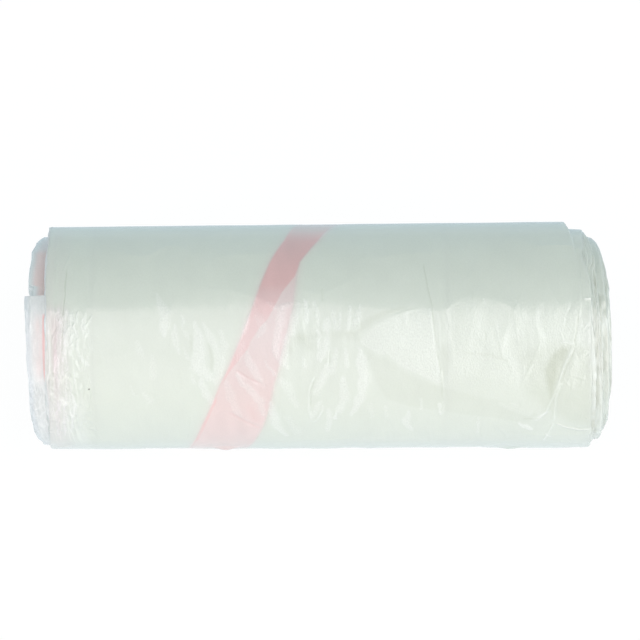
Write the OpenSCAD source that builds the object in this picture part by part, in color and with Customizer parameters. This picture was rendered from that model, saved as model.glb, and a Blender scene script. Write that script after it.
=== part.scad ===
// Roll of water-soluble laundry bags.
//
// One long web of clear bags, each folded lengthwise into a narrow band, is wound on itself with
// no tube in the middle. The roll lies along X and rests on the small flat that its own weight
// presses into it. Angles round the roll are counted from the front (-Y), over the top (90) and
// down the back (180) to the flat (270). The origin is on the surface below the middle.

/* [Bags] */
// Flat width of one bag
bag_w = 660; // [560:10:760]
// Length of one bag
bag_l = 840; // [640:10:1040]
// Number of bags on the roll
bag_count = 25; // [15:1:35]
// Thickness of one ply of film
film_t = 0.02; // [0.016:0.001:0.03]
// Panels that a bag is folded into across its width
fold_panels = 4; // [3:1:6]

/* [Roll] */
// Share of the roll's section that is film and not air
film_share = 0.89; // [0.75:0.01:1]
// Width of the open eye left at the middle
eye_d = 10; // [6:1:14]
// Thickness of a bundle of turns that slid sideways together
bundle_t = 2.5; // [2:0.1:4]
// Width of the flat that the roll rests on
flat_w = 16; // [8:1:24]
// Step at the loose end of the web
lap_t = 0.3; // [0.2:0.05:0.6]

/* [Ends] */
// How far the outer turns' right edge is drawn in by the fold that slipped out at the left
right_draw = 2.2; // [0:0.2:4]
// How far the inner turns stand out past the outer ones at the right end
right_reach = 6.4; // [0:0.2:12]
// How far the inner turns stand out past the outer ones at the left end
left_reach = 5; // [0:0.2:12]
// How far the right edges lean out at the low front and in at the high back
right_lean = 2; // [0:0.1:6]
// Sideways wander of the turns' edges
edge_wander = 0.4; // [0:0.05:1.2]
// Depth of the gap between two bundles of turns
gap_d = 1.4; // [0.6:0.1:3]
// How far the edge of a bundle is rounded over
edge_soft = 0.5; // [0.2:0.05:1]

/* [Loose fold] */
// How far the loose fold stands out past the outer turns at the left end
loose_reach = 6; // [2:0.1:8]
// Thickness of the loose fold's plies together
loose_t = 0.5; // [0.4:0.05:0.8]
// How far the loose fold droops towards the turns inside it
loose_droop = 1; // [0:0.1:2]
// Length of the loose fold's root between the turns
loose_root = 4; // [3:0.5:8]

/* [Tie strips] */
// Width of a tie strip laid flat
strip_w = 18; // [12:0.5:24]
// Thickness of one layer of tie strip
strip_t = 0.3; // [0.2:0.05:0.5]
// Width of the narrow hem along a strip's left edge
strip_hem = 0.8; // [0.5:0.1:1.5]
// Room left at the sides of a strip in its seat
strip_gap = 0.05; // [0.02:0.01:0.1]

/* [Hidden] */

film_colour = [0.87, 0.92, 0.88];
strip_colour = [0.96, 0.78, 0.77];
inner_strip_colour = [0.94, 0.68, 0.68];

// How far a cut runs past the face that it opens
overrun = 0.4;

// The folded web, and the radius that the whole length of it winds up to
fold_w = bag_w / fold_panels;
web_t = 2 * fold_panels * film_t;
eye_r = eye_d / 2;
web_section = bag_count * bag_l * web_t / film_share;
roll_r = sqrt(eye_r * eye_r + web_section / PI);

// Turns are drawn as bundles of like turns. A column is one line of points along the roll.
turns = max(4, round((roll_r - lap_t - eye_r) / bundle_t));
columns = 48;
full_turn = 360;
flat_columns = 2;
flat_angle = 270;
flat_half = asin(flat_w / 2 / roll_r);
flat_r = sqrt(roll_r * roll_r - flat_w * flat_w / 4);
sag = roll_r - flat_r;
round_step = (full_turn - 2 * flat_half) / (columns - flat_columns);
// The loose end of the web lies this many columns before the flat, low at the back
lap_columns = 8;
lap_angle = flat_angle - flat_half - lap_columns * round_step;
// The skin climbs to the full radius over this part of a turn, before it reaches the flat
lap_part = lap_columns * round_step / full_turn;

// Shares of the reach of each end, and of the lean, against turns counted inwards from the loose end
right_shares = [
    [0, -0.1], [0.9, 0], [1.12, 0.38], [1.85, 0.42], [2.1, 0.76], [2.9, 0.8], [3.1, 1], [5, 0.96], [7, 1],
    [9, 0.86], [11, 0.7], [20, 0.5]
];
left_shares = [
    [0, 0], [1.8, 0], [2, 0.92], [3, 1], [5, 0.86], [7, 0.96], [9, 0.84], [11, 0.66], [20, 0.5]
];
lean_shares = [[0, 1.5], [0.9, 1.1], [2, 0.95], [4, 0.75], [12, 0.3]];
lean_angle = -10;
// Where the wander of each end starts
left_start = 75;
right_start = 30;

// Shares of loose_reach that the loose fold stands out, against the angle round the roll
loose_shares = [
    [-76, 0.05], [-50, 0.35], [-30, 0.6], [-10, 0.76], [11, 0.84], [35, 0.87], [59, 0.94], [72, 1]
];
loose_low = -74;
loose_high = 72;
loose_steps = 22;

// Shares of fold_w that place the outer strip's left edge, against the angle round the roll
outer_left_shares = [
    [-146, -0.37], [-90, -0.285], [-25, -0.244], [0, -0.219], [25, -0.185], [35, -0.168], [50, -0.145],
    [63, -0.127], [79, -0.108], [90, -0.094], [107, -0.068], [128, -0.048], [160, -0.012], [200, 0.035]
];
// Shares of strip_w that show there, and that lie double because the strip is folded on itself
shown_shares = [
    [-146, 0.92], [-90, 0.98], [-25, 1.035], [0, 1.06], [17, 0.98], [39, 0.84], [50, 0.775], [66, 0.69],
    [81, 0.59], [90, 0.54], [107, 0.63], [128, 0.725], [160, 0.8], [200, 0.87]
];
doubled_shares = [
    [-146, 0.04], [25, 0.04], [32, 0.08], [38, 0.14], [46, 0.2], [56, 0.3], [63, 0.37], [72, 0.42],
    [81, 0.53], [90, 0.52], [107, 0.59], [128, 0.68], [160, 0.75], [200, 0.82]
];

// Film that covers a strip: both plies of one panel of the web
cover_t = 2 * film_t;

// Columns of the inner strip, which lies two bundles in at the left end, the share of its width
// by which it sits in from the edge of the turns that it lies on, and how far it is pressed in
ledge_turns = 2;
inner_first_column = 3;
inner_last_column = 44;
inner_inset_share = 0.08;
inner_sink_share = 0.2;

// Angle of column j, which rises from the loose end's line low at the back, under the roll and
// up its front
function column_angle(j) =
    let (i = j + columns - flat_columns - lap_columns)
    let (wraps = floor(i / columns), within = i - wraps * columns)
    let (from_flat = within <= columns - flat_columns
        ? within * round_step
        : (columns - flat_columns) * round_step + (within - columns + flat_columns) * flat_half)
    flat_half - full_turn / 4 + from_flat + full_turn * (wraps - 1);

// Part of a turn from the loose end's line to an angle, and to column j
function turn_part(angle) = (angle - lap_angle) / full_turn - floor((angle - lap_angle) / full_turn);
function column_part(j) = (column_angle(j) - column_angle(0)) / full_turn;

// Radius of the boundary below turn k, and of the skin where k is the number of turns
function skin_r(part) = roll_r - lap_t * pow(max(0, 1 - part / lap_part), 2);
function line_r(k, part) = k >= turns
    ? skin_r(part)
    : eye_r + (roll_r - lap_t - eye_r) * (k + part) / turns;

// Where a point of the round section lies in the soft roll, which is pressed flat below
function soft_point(x, r, angle) =
    let (floor_z = -(r - sag * pow(r / roll_r, 3)))
    [x, -r * cos(angle), flat_r + max(r * sin(angle), floor_z)];

// Sideways place of the web's edge, depth turns in from the loose end
function wander(depth, start) = edge_wander
    * (sin(full_turn * 1.618 * depth + start) + sin(full_turn * 2.41 * depth + 2 * start)) / 2;
function right_x(depth, angle) = fold_w / 2 - right_draw + right_reach * lookup(depth, right_shares)
    + right_lean * lookup(depth, lean_shares) * cos(angle - lean_angle) + wander(depth, right_start);
function left_x(depth) = -fold_w / 2 - left_reach * lookup(depth, left_shares) - wander(depth, left_start);
function edge_x(side, depth, angle) = side == 0 ? left_x(depth) : right_x(depth, angle);

// A column's profile at one end is a row of points from the eye to the skin, some for each turn:
// the gap below the turn, and the inner and outer shoulder of the turn's edge.
turn_points = 3;
last_point = turn_points * turns;
function profile_point(side, j, p) =
    let (k = floor(p / turn_points), kind = p - turn_points * k)
    let (part = column_part(j), angle = column_angle(j))
    let (outward = side == 0 ? -1 : 1)
    let (here = edge_x(side, turns - k - part, angle), below = edge_x(side, turns - k + 1 - part, angle))
    let (thick = k < turns ? line_r(k + 1, part) - line_r(k, part) : 0)
    let (inset = min(edge_soft, 0.3 * thick))
    kind == 1 ? soft_point(here, line_r(k, part) + inset, angle)
    : kind == 2 ? soft_point(here, line_r(k + 1, part) - inset, angle)
    : k == 0 ? soft_point(here - outward * edge_soft, line_r(0, part), angle)
    : k == turns ? soft_point(below - outward * edge_soft, line_r(turns, part), angle)
    : soft_point(outward * (min(abs(here), abs(below)) - gap_d), line_r(k, part), angle);

// The web is one spiral: a turn's last column is the next turn's first one
side_points = turn_points + columns * (last_point + 1);
function point_index(side, j, p) = j > 0
    ? side * side_points + turn_points + (j - 1) * (last_point + 1) + p
    : p < turn_points ? side * side_points + p : point_index(side, columns, p - turn_points);
function wound_points() = [
    for (side = [0, 1]) each [
        for (p = [0:turn_points - 1]) profile_point(side, 0, p),
        for (j = [1:columns], p = [0:last_point]) profile_point(side, j, p)
    ]
];
function face(a, b, c, d) = [
    for (corners = [[a, b, c], [a, c, d]])
        [for (corner = corners) point_index(corner[0], corner[1], corner[2])]
];
function wound_faces() = [
    for (j = [0:columns - 1], p = [0:last_point - 1]) each concat(
        face([0, j, p], [0, j + 1, p], [0, j + 1, p + 1], [0, j, p + 1]),
        face([1, j, p], [1, j, p + 1], [1, j + 1, p + 1], [1, j + 1, p])
    ),
    for (j = [0:columns - 1]) each concat(
        face([0, j, last_point], [0, j + 1, last_point], [1, j + 1, last_point], [1, j, last_point]),
        face([0, j, 0], [1, j, 0], [1, j + 1, 0], [0, j + 1, 0])
    ),
    for (p = [0:turn_points - 1]) let (q = last_point - turn_points + p) each concat(
        face([0, 0, p], [0, 0, p + 1], [1, 0, p + 1], [1, 0, p]),
        face([0, columns, q], [1, columns, q], [1, columns, q + 1], [0, columns, q + 1])
    )
];

// The roll's ends decide how far it is moved along X, so that the origin is at its middle
spiral_points = wound_points();
right_end = max([for (point = spiral_points) point[0]]);
left_end = min(-fold_w / 2 - loose_reach, min([for (point = spiral_points) point[0]]));
middle_x = (right_end + left_end) / 2;

// A closed solid through a row of outlines that have the same number of points each
module loft(outlines) {
    n = len(outlines[0]);
    last = n * (len(outlines) - 1);
    polyhedron(
        points = [for (outline = outlines) each outline],
        faces = [
            [for (i = [n - 1:-1:0]) i],
            for (start = [0:n:last - 1], i = [0:n - 1])
                let (a = start + i, b = start + (i + 1) % n)
                each [[a, b, b + n], [a, b + n, a + n]],
            [for (i = [0:n - 1]) last + i]
        ]
    );
}

// The spiral of turns, with its stepped and gapped ends
module wound_turns() {
    polyhedron(points = spiral_points, faces = wound_faces());
}

// The fold that slipped out between the two outer turns at the left end
module loose_fold() {
    loft([
        for (s = [0:loose_steps])
            let (angle = loose_low + (loose_high - loose_low) * s / loose_steps)
            let (r = line_r(turns - 1, turn_part(angle)))
            let (tip = -fold_w / 2 - loose_reach * lookup(angle, loose_shares))
            let (root = -fold_w / 2 + loose_root)
            [
                soft_point(tip, r - loose_droop - loose_t / 2, angle),
                soft_point(root, r - loose_t / 2, angle),
                soft_point(root, r + loose_t / 2, angle),
                soft_point(tip, r - loose_droop + loose_t / 2, angle)
            ]
    ]);
}

// The outer strip lies flush in the skin, one layer deep, and two where it is folded on itself.
// lift and room widen a strip into the cut that it lies in.
module outer_strip_form(lift = 0, room = 0) {
    loft([
        for (j = [1:columns - 1])
            let (angle = column_angle(j), top = skin_r(column_part(j)) - cover_t)
            let (edge = fold_w * lookup(angle, outer_left_shares), left = edge - room)
            let (right = edge + strip_w * lookup(angle, shown_shares) + room)
            let (fold = edge + max(strip_hem, strip_w * lookup(angle, doubled_shares)) + room)
            [
                soft_point(left, top - 2 * strip_t, angle),
                soft_point(fold, top - 2 * strip_t, angle),
                soft_point(fold, top - strip_t, angle),
                soft_point(right, top - strip_t, angle),
                soft_point(right, top + lift, angle),
                soft_point(left, top + lift, angle)
            ]
    ]);
}

// The inner strip lies on the ledge of the turns that stand out at the left end, two bundles in
module inner_strip_form(lift = 0, room = 0) {
    loft([
        for (j = [inner_first_column:inner_last_column])
            let (part = column_part(j), angle = column_angle(j))
            let (top = line_r(turns - ledge_turns, part) - inner_sink_share * edge_soft)
            let (edge = left_x(ledge_turns + 1 - part) + inner_inset_share * strip_w)
            [
                soft_point(edge - room, top - strip_t, angle),
                soft_point(edge + strip_w + room, top - strip_t, angle),
                soft_point(edge + strip_w + room, top + lift, angle),
                soft_point(edge - room, top + lift, angle)
            ]
    ]);
}

module bag_roll() {
    color(film_colour) translate([-middle_x, 0, 0]) difference() {
        union() {
            wound_turns();
            loose_fold();
        }
        outer_strip_form(overrun, strip_gap);
        inner_strip_form(overrun, strip_gap);
    }
}

module outer_tie_strip() {
    color(strip_colour) translate([-middle_x, 0, 0]) outer_strip_form();
}

module inner_tie_strip() {
    color(inner_strip_colour) translate([-middle_x, 0, 0]) inner_strip_form();
}

bag_roll();
outer_tie_strip();
inner_tie_strip();
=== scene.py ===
"""A coreless roll of water-soluble laundry bags on a pale floor, in soft studio light."""
import math

import bpy
import numpy as np
from mathutils import Matrix, Vector


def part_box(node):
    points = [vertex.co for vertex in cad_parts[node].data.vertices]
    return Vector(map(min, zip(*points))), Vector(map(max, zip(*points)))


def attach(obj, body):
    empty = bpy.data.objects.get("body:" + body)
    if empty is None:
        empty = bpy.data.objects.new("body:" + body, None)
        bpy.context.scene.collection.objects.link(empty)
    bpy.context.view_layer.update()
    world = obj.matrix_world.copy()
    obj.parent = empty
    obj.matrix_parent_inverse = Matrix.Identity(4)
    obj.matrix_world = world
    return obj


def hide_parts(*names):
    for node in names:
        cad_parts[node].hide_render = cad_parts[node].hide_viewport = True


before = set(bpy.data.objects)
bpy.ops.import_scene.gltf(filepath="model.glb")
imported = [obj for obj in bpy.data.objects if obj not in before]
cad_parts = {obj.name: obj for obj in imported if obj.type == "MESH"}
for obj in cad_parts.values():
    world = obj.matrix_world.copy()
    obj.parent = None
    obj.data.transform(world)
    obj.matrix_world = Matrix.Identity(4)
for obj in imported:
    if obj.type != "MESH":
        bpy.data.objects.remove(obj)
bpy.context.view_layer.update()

# Sizes of the roll in millimetres, as the model has them
MM = 0.001
BAG_W, BAG_L, BAG_COUNT = 660.0, 840.0, 25
FILM_T, FOLD_PANELS, FILM_SHARE = 0.02, 4, 0.89
EYE_R, BUNDLE_T, FLAT_W, LAP_T = 5.0, 2.5, 16.0, 0.3
RIGHT_DRAW, RIGHT_REACH, LEFT_REACH, RIGHT_LEAN, LEAN_ANGLE = 2.2, 6.4, 5.0, 2.0, -10.0
LOOSE_REACH, LOOSE_ROOT = 6.0, 4.0
STRIP_W, STRIP_T = 18.0, 0.3
FOLD_W = BAG_W / FOLD_PANELS
COVER_T = 2 * FILM_T
ROLL_R = math.sqrt(EYE_R**2 + BAG_COUNT * BAG_L * 2 * FOLD_PANELS * FILM_T / FILM_SHARE / math.pi)
FLAT_R = math.sqrt(ROLL_R**2 - FLAT_W**2 / 4)
BUNDLES = round((ROLL_R - LAP_T - EYE_R) / BUNDLE_T)
FLAT_HALF = math.degrees(math.asin(FLAT_W / 2 / ROLL_R))
LAP_PART = 8 * (360 - 2 * FLAT_HALF) / 46 / 360
LAP_ANGLE = -90 - FLAT_HALF - 360 * LAP_PART

# Shares against turns counted inwards from the loose end, and against the angle round the roll
RIGHT_SHARES = [(0, -0.1), (0.9, 0), (1.12, 0.38), (1.85, 0.42), (2.1, 0.76), (2.9, 0.8), (3.1, 1), (5, 0.96),
                (7, 1), (9, 0.86), (11, 0.7), (20, 0.5)]
LEFT_SHARES = [(0, 0), (1.8, 0), (2, 0.92), (3, 1), (5, 0.86), (7, 0.96), (9, 0.84), (11, 0.66), (20, 0.5)]
LEAN_SHARES = [(0, 1.5), (0.9, 1.1), (2, 0.95), (4, 0.75), (12, 0.3)]
RIGHT_BOWS_ABOVE = [(0, 0.6), (0.9, 0.8), (1.1, 0.3), (1.9, 0.3), (2.1, 1.1), (4, 1.3), (12, 0.4)]
RIGHT_BOWS_BELOW = [(0, 0.4), (0.9, 0.4), (1.1, 1.3), (1.9, 1.3), (2.2, 0.1), (12, 0.1)]
LEFT_BOWS = [(0, 0.6), (1.6, 0.6), (2, 0.8), (12, 0.2)]
# How much further out some turns reach at the right end's upper back, in millimetres
RIGHT_STAIRS = [(0.1, 0), (0.3, 0.5), (1.0, 2.2), (1.2, 0)]
LOOSE_SHARES = [(-76, 0.05), (-50, 0.35), (-30, 0.6), (-10, 0.76), (11, 0.84), (35, 0.87), (59, 0.94), (72, 1)]
OUTER_LEFT_SHARES = [(-146, -0.37), (-90, -0.285), (-25, -0.244), (0, -0.219), (25, -0.185), (35, -0.168),
                     (50, -0.145), (63, -0.127), (79, -0.108), (90, -0.094), (107, -0.068), (128, -0.048),
                     (160, -0.012), (200, 0.035)]
SHOWN_SHARES = [(-146, 0.92), (-90, 0.98), (-25, 1.035), (0, 1.06), (17, 0.98), (39, 0.84), (50, 0.775),
                (66, 0.69), (81, 0.59), (90, 0.54), (107, 0.63), (128, 0.725), (160, 0.8), (200, 0.87)]
DOUBLED_SHARES = [(-146, 0.04), (25, 0.04), (32, 0.08), (38, 0.14), (46, 0.2), (56, 0.3), (63, 0.37),
                  (72, 0.42), (81, 0.54), (90, 0.54), (107, 0.59), (128, 0.68), (160, 0.75), (200, 0.82)]

# The photograph's frame: the roll's middle, the scale there, and the camera's angles and distance
PHOTO_SIDE = 640
PHOTO_X, PHOTO_Y = 320.0, 335.6
MM_PER_PIXEL = 0.311
CAMERA_UP_DEG, CAMERA_ROLL_DEG, CAMERA_AWAY = 50.0, 0.27, 24.0
# The roll is slightly thinner towards its left end
NARROWING = 0.016
SENSOR_MM = 36.0


def table(x, pairs):
    """The value that a table of pairs gives at x, on straight lines between the pairs."""
    return np.interp(x, [p[0] for p in pairs], [p[1] for p in pairs])


def smooth(x):
    """A step from 0 to 1 without corners."""
    x = np.clip(x, 0.0, 1.0)
    return x * x * (3 - 2 * x)


def lattice(i, j, seed):
    """A fixed value from -1 to 1 for each whole point."""
    n = (i.astype(np.int64) * 374761393 + j.astype(np.int64) * 668265263 + seed * 1442695041) & 0xFFFFFFFF
    n = ((n ^ (n >> 13)) * 1274126177) & 0xFFFFFFFF
    n = ((n ^ (n >> 16)) * 2246822519) & 0xFFFFFFFF
    return ((n ^ (n >> 15)) & 0xFFFF) / 32767.5 - 1.0


def noise(u, v, seed):
    """Smooth noise from -1 to 1 over a plane, with features about one unit across."""
    u, v = np.broadcast_arrays(np.asarray(u, float), np.asarray(v, float))
    i, j = np.floor(u), np.floor(v)
    a, b = u - i, v - j
    a = a * a * a * (a * (a * 6 - 15) + 10)
    b = b * b * b * (b * (b * 6 - 15) + 10)
    low = lattice(i, j, seed) * (1 - a) + lattice(i + 1, j, seed) * a
    high = lattice(i, j + 1, seed) * (1 - a) + lattice(i + 1, j + 1, seed) * a
    return low * (1 - b) + high * b


def folds(u, v, seed):
    """Noise with sharp crests, from 0 to 1."""
    return (1 - np.abs(noise(u, v, seed))) ** 2


def part_of_turn(angle):
    return (angle - LAP_ANGLE) / 360


def skin_r(angle):
    """Radius of the outer skin, which steps up at the loose end."""
    return ROLL_R - LAP_T * np.maximum(0, 1 - part_of_turn(angle) / LAP_PART) ** 2


def wander(depth, start):
    return 0.2 * (np.sin(2 * np.pi * (1.618 * depth + start / 360)) + np.sin(2 * np.pi * (2.41 * depth + start / 180)))


def bow(angle):
    """The web's edges bow out on the roll's upper back and lower front."""
    return np.sin(np.radians(angle - CAMERA_UP_DEG)) ** 2


def right_x(depth, angle):
    lean = RIGHT_LEAN * table(depth, LEAN_SHARES) * np.cos(np.radians(angle - LEAN_ANGLE))
    above = np.sin(np.radians(angle - CAMERA_UP_DEG)) > 0
    bows = np.where(above, table(depth, RIGHT_BOWS_ABOVE), table(depth, RIGHT_BOWS_BELOW))
    reach = RIGHT_REACH * table(depth, RIGHT_SHARES) + bows * bow(angle)
    return FOLD_W / 2 - RIGHT_DRAW + reach + lean + wander(depth, 30)


def left_x(depth, angle):
    reach = LEFT_REACH * table(depth, LEFT_SHARES) + table(depth, LEFT_BOWS) * bow(angle)
    return -FOLD_W / 2 - reach - wander(depth, 75)


# The model is moved along X so that its origin is below its middle
MIDDLE_X = -FOLD_W / 2 - LOOSE_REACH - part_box("bag_roll")[0][0] / MM


def narrowing(x):
    """How much thinner the roll is at x than at its right end."""
    return 1 - NARROWING * (FOLD_W / 2 - x) / FOLD_W


def place(x, r, angle):
    """Points in metres of the soft roll, pressed flat below."""
    x, r, angle = np.broadcast_arrays(x, r, np.radians(angle))
    floor_z = -(r - (ROLL_R - FLAT_R) * (np.minimum(r, ROLL_R) / ROLL_R) ** 3)
    z = np.maximum(FLAT_R + np.maximum(r * np.sin(angle), floor_z), 0)
    thin = narrowing(x)
    return np.stack([x - MIDDLE_X, -r * np.cos(angle) * thin, z * thin], axis=-1) * MM


def on_roll(px, py, share=1.0):
    """The x and angle of the point of the roll that shows at a pixel of the photograph."""
    roll = math.radians(CAMERA_ROLL_DEG)
    right, down = px - PHOTO_X, PHOTO_Y - py
    u = (right * math.cos(roll) + down * math.sin(roll)) * MM_PER_PIXEL
    v = (down * math.cos(roll) - right * math.sin(roll)) * MM_PER_PIXEL
    thin, nearer = 1.0, 1.0
    for _ in range(8):
        r = ROLL_R * share * thin
        lower = (1 - thin) * FLAT_R * math.cos(math.radians(CAMERA_UP_DEG))
        a = math.asin(max(-1.0, min(1.0, (v * nearer + lower) / r)))
        nearer = 1 - r * math.cos(a) / (CAMERA_AWAY * ROLL_R)
        thin = narrowing(u * nearer)
    return u * nearer + MIDDLE_X, math.degrees(a) + CAMERA_UP_DEG


def moved_to(x, r, angle, outline):
    """The x at which a point of the roll shows on an outline, given as rows and columns of the photograph."""
    a, roll = np.radians(angle - CAMERA_UP_DEG), math.radians(CAMERA_ROLL_DEG)
    thin = narrowing(x)
    nearer = 1 - r * thin * np.cos(a) / (CAMERA_AWAY * ROLL_R)
    u = (x - MIDDLE_X) / nearer
    v = (r * thin * np.sin(a) - (1 - thin) * FLAT_R * math.cos(math.radians(CAMERA_UP_DEG))) / nearer
    column = PHOTO_X + (u * math.cos(roll) - v * math.sin(roll)) / MM_PER_PIXEL
    row = PHOTO_Y - (v * math.cos(roll) + u * math.sin(roll)) / MM_PER_PIXEL
    return x + (table(row, outline) - column) * MM_PER_PIXEL * nearer


# The outline's two sides in the photograph: column for each row. The flap lies over the left one lower down
LEFT_OUTLINE = [(237, 44), (238.5, 41.3), (241.5, 37.3), (244.5, 36.3), (247.5, 35), (250.5, 33.3), (253.5, 31.5),
                (260.5, 31.3), (270.5, 29.4), (280.5, 28.4), (310, 28.2)]
FLAP_OUTLINE = [(296, 24.3), (310, 24.3), (322, 25.2), (340, 26), (360, 26.4), (371, 27.2), (380, 28.2), (400, 29),
                (411, 29.4), (420, 31.2), (426, 33.4), (432, 34.4), (435, 36.2), (438.5, 38), (441.5, 43)]
RIGHT_OUTLINE = [(229.5, 579.7), (232.5, 582.7), (235.5, 584.7), (238.5, 587), (239.6, 591), (241.5, 593.7),
                 (244.5, 596.5), (250.5, 599.7), (256.5, 601.7), (260.5, 602.8), (270.5, 605.7), (280.5, 607.8),
                 (290.5, 609.6), (310, 610.8), (330, 611.8), (380, 611.8), (392, 610.6), (400, 608.9), (420, 607.8),
                 (426, 606), (432, 604.9), (435.5, 602.8), (438.5, 596), (441.5, 588), (444.5, 585.8), (447.5, 577.8)]
# Creases through pixels of the photograph, with half width and height in millimetres, and how much painted
# highlight they carry; below zero the height is a valley, and the colour carries painted shade
CREASES = [
    ([(578.6, 314), (577, 326), (574, 345)], 0.35, -0.10, -0.09),
    ([(574, 345), (564.3, 365.7), (557, 387), (545.7, 411.4), (535.7, 421.4)], 0.55, 0.3, 0.04),
    ([(576, 347), (566.5, 367), (559.5, 388)], 0.35, -0.05, -0.07),
    ([(561.4, 381.4), (555.7, 397), (553.6, 422)], 0.5, 0.26, 0.05),
    ([(553.6, 422), (541.4, 441.4)], 0.5, 0.22, 0.06),
    ([(553.6, 422), (565.7, 426.4), (580, 429.3), (591.4, 428)], 0.55, 0.3, 0.08),
    ([(559, 342.5), (566, 342.5), (574, 345)], 0.5, 0.2, 0.04),
    ([(423.5, 262), (424, 268), (428, 290), (431.9, 306), (433, 321), (436.3, 350)], 0.33, -0.08, -0.07),
    ([(428, 306), (431, 322), (434, 345)], 0.3, 0.05, 0.02),
    ([(435, 306), (438.8, 322), (440, 352)], 0.4, 0.06, 0.02),
    ([(436.3, 350), (439.4, 365), (441.9, 377.5), (443, 400)], 0.33, -0.08, -0.08),
    ([(440.6, 368), (443.8, 399)], 0.4, 0.14, 0.04),
    ([(314.4, 375.7), (309.4, 390), (308.7, 408.6), (312.3, 422.9)], 0.5, 0.22, 0.05),
    ([(315.2, 377), (310.9, 391), (310.4, 408)], 0.33, -0.14, -0.07),
    ([(312.3, 422.9), (316.6, 420), (322.3, 410)], 0.5, 0.16, 0.03),
    ([(322, 288), (322.6, 302)], 0.4, -0.1, -0.04),
    ([(235, 370), (249.4, 378.6), (269.4, 388.6)], 0.7, -0.2, -0.04),
    ([(228, 411.4), (242.3, 420), (260.9, 428.6)], 0.8, -0.2, -0.03),
    ([(330.3, 348.9), (328.9, 367.4)], 0.4, -0.14, -0.04),
    ([(483.8, 332.5), (486, 336), (485, 340), (472.5, 340)], 0.35, -0.08, -0.03),
    ([(584, 298.4), (592, 298)], 0.4, 0.2, 0.07),
    ([(580, 277), (591, 286)], 0.5, 0.12, 0),
    ([(66.5, 264), (66, 276), (64.6, 288), (64.8, 296), (63.3, 306), (62.6, 327.5), (62, 350), (59.5, 367)], 0.3, -0.16, -0.07),
    ([(47.2, 312), (47.8, 330), (49.6, 362), (47.6, 384), (48.9, 404), (49.5, 438)], 0.34, 0.16, 0.06),
    ([(358, 339.5), (374.3, 325.3), (391.3, 316.8), (408, 311), (421, 307.6)], 0.45, 0.05, 0.02),
]
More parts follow.
